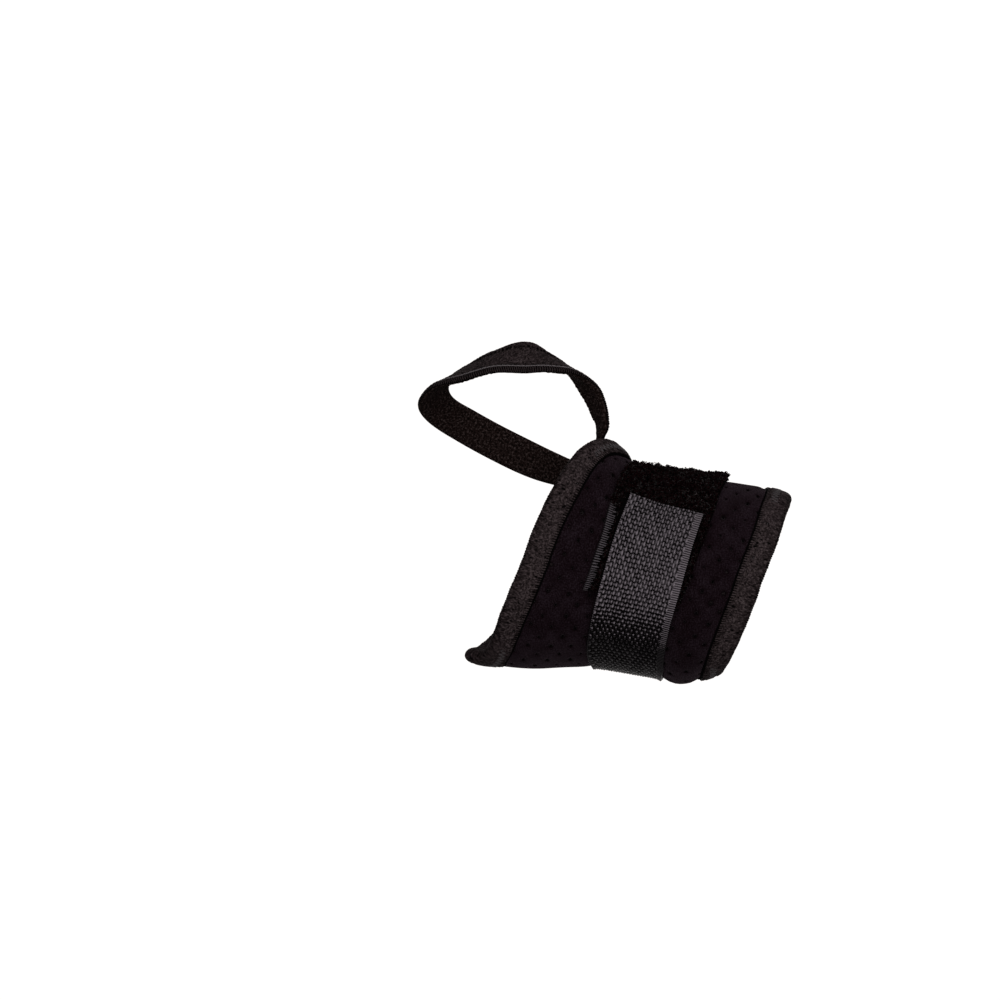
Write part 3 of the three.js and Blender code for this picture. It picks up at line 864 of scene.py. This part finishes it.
def build_strap(painted_shade, flank, crest):
    line = lambda degrees: strap_line(degrees, 0.0, STRAP_THICKNESS)
    along, degrees = even_steps(line, STRAP["at"][-1], STRAP["at"][0], WEFT_PITCH / WEFT_CUTS)
    yarns = round(STRAP_WIDTH / WARP_PITCH)
    across = np.linspace(-STRAP_WIDTH / 2, STRAP_WIDTH / 2, yarns * WARP_CUTS + 1)
    row = np.arange(len(along))[:, None] / WEFT_CUTS
    column = np.arange(len(across))[None, :] / WARP_CUTS
    from_front = across + STRAP_WIDTH / 2
    from_rear = STRAP_WIDTH / 2 - across
    body = smoothstep(from_front, SELVEDGES[0] - 0.2, SELVEDGES[0] + 0.2)
    body = body * smoothstep(from_rear, SELVEDGES[1] - 0.2, SELVEDGES[1] + 0.2)
    rib = np.cos(2 * np.pi * (row * SELVEDGE_RIBS + 0.125))
    rough = grain((len(along), len(across)))
    floats = weave(row, column)
    woven = floats * body + (0.27 + 0.07 * rib) * (1 - body) + 0.012 * rough
    # Painted shade: colour darkens down the yarns' sides into the pits, and between the selvedge ribs
    rise = np.clip(floats / (WARP_RISE + YARN_RISE), 0, 1) ** 1.6 * body
    rise = rise + (0.52 + 0.6 * rib) * (1 - body) + 0.05 * rough
    rounded = rounded_edge(np.minimum(from_front, from_rear), STRAP_ROUND)
    height = 0.75 * (0.45 + 0.55 * rounded) + woven * rounded
    drift = WEFT_SLANT * across + 0.08 * np.sin(across / 2.7)
    drift = drift + 0.05 * np.sin(across / 1.1 + along[:, None] / 6)
    at = degrees[:, None] + drift * np.gradient(degrees, along)[:, None]
    near_end = smoothstep(along[:, None] / along[-1], 0.8, 1.0)
    at = at - END_BOW * (1 - (2 * across / STRAP_WIDTH) ** 2) * near_end
    aside = across + 0.05 * np.sin(along[:, None] / 3.7) + 0.04 * rib * np.sign(across) * (1 - body)
    outer = strap_line(at, aside, height)
    inner = strap_line(at, aside, np.zeros_like(height))
    sheet = thick_sheet(outer, inner, along, across, np.clip(rise, 0, 1))
    return make_piece("webbing_strap", *sheet, painted_shade, flank, crest, limits=WEBBING_LIMITS)


STITCH = 2.4
STITCH_STEPS = np.linspace(0, 1, 6)  # places along one stitch
SEWN = (259.0, 246.0)  # degrees between which the strap's hidden end is sewn down
SEWN_SIDE = STRAP_WIDTH / 2 - 3.0


def build_strap_stitches(material):
    """A box of stitches with a cross in it, on the strap's hidden end."""
    corners = [np.array((at, side * SEWN_SIDE)) for at in SEWN for side in (-1, 1)]
    arch = 1.0 + 0.16 * np.sin(np.pi * STITCH_STEPS)
    paths = []
    ups = []
    for first, last in ((0, 1), (2, 3), (0, 2), (1, 3), (0, 3), (1, 2)):
        start = corners[first]
        way = corners[last] - start
        length = np.linalg.norm(strap_line(*(start + way), 0.0) - strap_line(*start, 0.0))
        count = round(length / STITCH)
        share = (np.arange(count)[:, None] + 0.06 + 0.88 * STITCH_STEPS) / count
        at = start[0] + share * way[0]
        across = start[1] + share * way[1]
        paths.append(strap_line(at, across, arch))
        ups.append(strap_line(at, across, arch + 1) - paths[-1])
    stitches = threads(np.concatenate(paths), np.concatenate(ups), 0.2, THREAD_SIDES)
    return make_piece("strap_stitches", *stitches, material)


# The patch: a woven base with a bare ribbed selvedge, and curled pile on the rest of it

SELVEDGE_RIB = 0.75
SELVEDGE_CUTS = 5
PATCH_ROUND = 0.5
OVER_SELVEDGE = 61.0  # degrees, below which the pile covers the selvedge
SPREAD = 1.5  # how far it spreads out past the front edge there
SPREAD_GROWS = (22, 34)  # degrees
SPREAD_FADES = (57, 82)
FIBRES = 5000
FIBRE_STEPS = 7
FOOT = 1.1  # height of a fibre's foot
TUFT = (2.6, 1.8)  # degrees along and millimetres across that share one height of pile


def patch_at(degrees, across):
    """Degrees round the tube, with the front corner on the loop side stopping short."""
    first, last = PATCH["at"][0], PATCH["at"][-1]
    short = PATCH_SKEW * (1 - smoothstep(across + PATCH_WIDTH / 2, 0, PATCH_WIDTH / 2))
    return degrees + short * (last - degrees) / (last - first)


def patch_line(at, across, height):
    """Points of the patch. Where pile covers the selvedge it spreads out past the front edge."""
    spread = smoothstep(at, *SPREAD_GROWS) * (1 - smoothstep(at, *SPREAD_FADES))
    aside = SPREAD * spread * (1 - smoothstep(across + PATCH_WIDTH / 2, 0, 8))
    return above(smooth(PATCH["at"], PATCH["x"], at) + across - aside, at, ON_PANEL + height)


def patch_steps(step):
    """Even steps along the patch, from its end under the strap."""
    line = lambda degrees: patch_line(degrees, 0.0, PATCH_THICKNESS)
    return even_steps(line, PATCH["at"][-1], PATCH["at"][0], step)


def build_patch(painted_shade, ribs):
    along, degrees = patch_steps(SELVEDGE_RIB / SELVEDGE_CUTS)
    selvedge = np.linspace(0, SELVEDGE_WIDTH, 13)
    piled_part = np.linspace(SELVEDGE_WIDTH + 0.4, PATCH_WIDTH, 40)
    across = np.concatenate([selvedge, piled_part]) - PATCH_WIDTH / 2
    row = np.arange(len(along))[:, None] / SELVEDGE_CUTS
    s = along[:, None]
    from_front = across + PATCH_WIDTH / 2
    rounded = rounded_edge(np.minimum(from_front, PATCH_WIDTH / 2 - across), PATCH_ROUND)
    rib = np.cos(2 * np.pi * (row + 0.1 * from_front))
    lumps = 0.22 * np.sin(s * 2.9 + 2 * np.sin(across * 1.9)) * np.sin(across * 3.1 + 1.6 * np.sin(s * 1.7))
    at = patch_at(degrees[:, None], across)
    bare = SELVEDGE_WIDTH * smoothstep(at, OVER_SELVEDGE - 2, OVER_SELVEDGE + 2)
    piled = smoothstep(from_front, bare - 0.3, bare + 0.4)
    top = (0.72 + 0.14 * rib) * (1 - piled) + (1.35 + lumps) * piled
    # Painted shade: darker between the selvedge ribs, in a ragged band beside the pile and under it; each
    # rib's tone also differs at random
    uneven = rng.uniform(0.35, 0.6, len(along) // SELVEDGE_CUTS + 2)[np.round(row).astype(int)]
    ragged = rng.uniform(0.0, 0.8, uneven.size)[np.round(row).astype(int)] * smoothstep(from_front, 0.7, 2.3)
    rise = np.clip(uneven + 0.6 * rib - ragged + 0.08 * grain(rib.shape), 0, 1) * (1 - piled)
    outer = patch_line(at, across, 0.2 + (top - 0.2) * rounded)
    inner = patch_line(at, across, np.zeros_like(top))
    sheet = thick_sheet(outer, inner, along, across, rise)
    return make_piece("patch_base", *sheet, painted_shade, ribs, limits=(KNIT_LIMIT,))


def build_pile(material):
    """Curled fibres on the patch, where the strap doesn't press them flat."""
    along, degrees = patch_steps(0.25)
    tries = 4 * FIBRES
    across = rng.uniform(-0.2, PATCH_WIDTH - 0.2, tries) - PATCH_WIDTH / 2
    at = patch_at(np.interp(rng.uniform(0.3, along[-1] - 0.6, tries), along, degrees), across)
    x = smooth(PATCH["at"], PATCH["x"], at) + across
    strap_x = smooth(STRAP["at"], STRAP["x"], np.maximum(at, STRAP["at"][0]))
    beside = np.abs(x - strap_x) - STRAP_WIDTH / 2
    beyond = (STRAP["at"][0] - at) * 0.45
    clear = np.maximum(beside, beyond)
    piled = (at < OVER_SELVEDGE) | (across + PATCH_WIDTH / 2 > SELVEDGE_WIDTH + 0.1)
    kept = np.flatnonzero(piled & (clear > 0.1))[:FIBRES]
    at, across, clear = at[kept], across[kept], clear[kept]
    count = len(kept)
    foot = patch_line(at, across, FOOT)
    normal = unit(patch_line(at, across, FOOT + 1) - foot)
    lean = unit(square_to(normal, unit(rng.normal(size=(count, 3)))))
    plane = np.cross(normal, lean)
    tilt = unit(normal + plane * rng.uniform(-0.8, 0.8, (count, 1)))
    height = rng.uniform(0.7, 1.7, (count, 1)) * np.clip(0.35 + clear[:, None] / 1.6, 0.35, 1.0)
    tufts = rng.uniform(0.55, 1.15, (40, 26))
    tuft_row = (at / TUFT[0]).astype(int)
    tuft_column = ((across + PATCH_WIDTH) / TUFT[1]).astype(int)
    height = height * tufts[tuft_row, tuft_column][:, None]
    width = rng.uniform(0.6, 1.3, (count, 1))
    turn = 2 * np.pi * np.linspace(0, 1, FIBRE_STEPS)[None, :] * rng.uniform(0.6, 1.0, (count, 1))
    rise = (height * (1 - np.cos(turn)) / 2)[..., None] * tilt[:, None]
    swing = (width * np.sin(turn) / 2)[..., None] * lean[:, None]
    paths = foot[:, None] + rise + swing
    square = np.broadcast_to(np.cross(tilt, lean)[:, None], paths.shape)
    radius = rng.uniform(0.1, 0.2, (count, 1))
    return make_piece("patch_pile", *threads(paths, square, radius, 3), material)


# The thumb loop: a band of folded knit tape

LOOP_RIB = 0.66
LOOP_RIB_CUTS = 4
OVERLOCK = 2.0  # width of the ribbed edge
HEM = 2.0
LOOP_ROUND = 0.7
LOOP_FLECKS = 300
LOOP_STITCH = 1.5


def loop_end(degrees, distance):
    depth = 2 * GAP + TAPE + LOOP_SET + LOOP_THICKNESS / 2
    x = x_from_edge("front", degrees, distance)
    ends = degrees + np.array([-1.0, 0.0, 1.0])
    below = above(x, ends, panel_lift(PANEL_START - ends) - depth)
    return below[1], unit(below[2] - below[0])


def loop_table():
    """The loop's middle line and width directions, keyed by the length along it."""
    leaving = [loop_end(LOOP_FROM, LOOP_TUCK), loop_end(LOOP_FROM, 0.0)]
    coming = [loop_end(LOOP_BACK, 0.0), loop_end(LOOP_BACK, LOOP_TUCK)]
    middle = np.array([p for p, _ in leaving] + list(LOOP_MIDDLE) + [p for p, _ in coming])
    wide = np.array([w for _, w in leaving] + list(LOOP_WIDE) + [-w for _, w in coming])
    return lengths(middle), middle, wide


def loop_frame(length):
    """The loop's middle, its way across and its outward way at each length."""
    keys, middle, wide = loop_table()
    at = lambda values, where: np.stack([smooth(keys, values[:, k], where) for k in range(3)], -1)
    along = unit(at(middle, length + 0.2) - at(middle, length - 0.2))
    across = unit(square_to(along, at(wide, length)))
    return at(middle, length), across, np.cross(along, across)


def loop_width(length):
    whole = loop_table()[0][-1]
    opened = smoothstep(np.minimum(length, whole - length) - LOOP_TUCK, 0.0, LOOP_TAPER)
    return LOOP_END_WIDTH + (LOOP_WIDTH - LOOP_END_WIDTH) * opened


def loop_points(length, share, out):
    middle, across, outward = loop_frame(length)
    return middle + across * (share * loop_width(length) / 2)[..., None] + outward * out[..., None]


def loop_face(share):
    """Height of the band's outer face above its middle, without its hem and ribs."""
    return LOOP_THICKNESS / 2 - 0.35 * share**2


def build_loop(painted_shade, knit, lining):
    whole = loop_table()[0][-1]
    rows = COARSE * round(whole / LOOP_RIB * LOOP_RIB_CUTS / COARSE)
    along = np.linspace(0, whole, rows + 1)
    share = np.linspace(1, -1, 41)
    length, cross = np.meshgrid(along, share, indexing="ij")
    count = np.arange(rows + 1)[:, None] / LOOP_RIB_CUTS
    width = loop_width(length)
    from_hem = (cross + 1) * width / 2
    from_ribs = (1 - cross) * width / 2
    rounded = rounded_edge(np.minimum(from_hem, from_ribs), LOOP_ROUND)
    rib = 0.5 + 0.5 * np.cos(2 * np.pi * (count - 0.3 * from_ribs))
    ribbed = 1 - smoothstep(from_ribs, OVERLOCK - 0.4, OVERLOCK)
    hem = np.sqrt(np.clip(1 - ((from_hem - HEM / 2) / (HEM / 2)) ** 2, 0, 1))
    stitch = 0.55 + 0.45 * np.cos(np.pi * count)
    groove = np.exp(-((from_hem - HEM - 0.1) / 0.32) ** 2) * stitch
    swell = 0.1 * np.sin(length / 3.3 + 2 * cross) * np.sin(length / 5.2)
    rough = grain(length.shape)
    flecks = spots(along, from_hem, LOOP_FLECKS, 0.4, 0.16)
    dents = np.exp(-((from_ribs - OVERLOCK - 0.7) / 0.25) ** 2) * (1 - rib)
    detail = 0.24 * (rib - 0.5) * ribbed + 0.3 * hem - 0.4 * groove - 0.15 * dents + 0.05 * rough
    # Painted shade: darker between the ribs, in the stitch groove below the hem and in the dents beside the
    # ribbed edge; the flecks are lighter yarn
    rise = 0.54 + 0.18 * rough + 0.3 * flecks
    rise = rise * (1 - ribbed) + 0.75 * rib * ribbed
    rise = np.clip(rise * (1 - groove) * (1 - 0.7 * dents), 0, 1)
    outer = loop_points(length, cross, (loop_face(cross) + swell + detail) * (0.25 + 0.75 * rounded))
    knots = 0.16 * np.sin(length * 4.1 + 2 * np.sin(cross * 9)) * np.sin(cross * 13 + np.sin(length * 2.3))
    inner = loop_points(length, cross, -(LOOP_THICKNESS / 2 + knots) * (0.25 + 0.75 * rounded))
    sheet = thick_sheet(outer, inner, along, share * LOOP_WIDTH / 2, rise)
    return make_piece("loop_band", *sheet, painted_shade, knit, limits=(KNIT_LIMIT,), lining=lining)


def build_loop_thread(material):
    """The light line of stitches beside the loop's ribbed edge."""
    whole = loop_table()[0][-1]
    starts = np.arange(LOOP_TUCK, whole - LOOP_TUCK, LOOP_STITCH)
    length = starts[:, None] + LOOP_STITCH * 1.02 * STITCH_STEPS
    share = 1 - 2 * OVERLOCK / loop_width(length)
    arch = 0.06 + 0.12 * np.sin(np.pi * STITCH_STEPS)
    paths = loop_points(length, share, loop_face(share) + arch)
    across = loop_frame(length)[1]
    return make_piece("loop_stitches", *threads(paths, across, 0.19, THREAD_SIDES), material)


# Build the pieces, and hide the imported solids they stand for

knit = knit_material()
sewing = thread_material("sewing_thread", 0.032)
# Painted shade: one near-black material for the sunk faces of every woven or knit piece
painted_shade = painted_shade_material()

panel = build_panel(neoprene_material())
front_tape = build_binding("front_tape", "front", painted_shade, knit)
rear_tape = build_binding("rear_tape", "rear", painted_shade, knit)
front_stitches = build_zigzag("front_stitches", "front", sewing)
rear_stitches = build_zigzag("rear_stitches", "rear", sewing)
# The flanks get a duller copy of the webbing, as painted shade where the yarns dive
strap = build_strap(painted_shade, webbing_material("webbing_shaded_flanks", 0.22), webbing_material("webbing", 0.5))
strap_stitches = build_strap_stitches(sewing)
patch = build_patch(painted_shade, patch_material())
fibres = build_pile(pile_material())
loop = build_loop(painted_shade, knit, terry_material())
loop_stitches = build_loop_thread(thread_material("loop_thread", 0.06))

for piece, node, slot in (
    (panel, "wrist_panel", "neoprene"),
    (front_tape, "front_binding", "knit_tape"),
    (rear_tape, "rear_binding", "knit_tape"),
    (strap, "closure_strap", "webbing"),
    (patch, "pile_patch", "pile"),
    (loop, "thumb_loop", "knit_tape"),
):
    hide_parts(node)

# Studio

FLOOR_HALF = 30.0  # metres, as all lengths of the studio

floor_mesh = bpy.data.meshes.new("floor")
floor_corners = [(FLOOR_HALF * x, FLOOR_HALF * y, 0) for x, y in ((-1, -1), (1, -1), (1, 1), (-1, 1))]
floor_mesh.from_pydata(floor_corners, [], [(0, 1, 2, 3)])
floor_mesh.materials.append(floor_material())
floor = add_object("floor", floor_mesh)
floor.location = (-0.048, 0.0154, -1.5)


def soft_light(name, at, size, size_y, watts):
    """A rectangular softbox that faces the object."""
    data = bpy.data.lights.new(name, "AREA")
    data.shape = "RECTANGLE"
    data.size = size
    data.size_y = size_y
    data.energy = watts
    lamp = add_object(name, data)
    lamp.location = at
    way = -np.array(at)
    lamp.rotation_euler = (math.acos(-way[2] / np.linalg.norm(way)), 0, math.atan2(-way[0], way[1]))


soft_light("overhead", (0.0, 0.0, 1.6), 3.0, 3.0, 98)
soft_light("side", (0.0, 1.7, 0.75), 3.0, 1.4, 36)

world = bpy.data.worlds.new("studio")
world.use_nodes = True
set_inputs(world.node_tree.nodes["Background"], {"Color": (1, 1, 1, 1), "Strength": 0.055})
bpy.context.scene.world = world
bpy.context.scene.view_settings.view_transform = "Standard"

lens = bpy.data.cameras.new("camera")
lens.sensor_width = 36.0
lens.lens = 96.75
camera = add_object("camera", lens)
camera.location = (-0.04796, 0.01541, 0.860)
camera.rotation_euler = (0, 0, math.radians(9.4))
bpy.context.scene.camera = camera
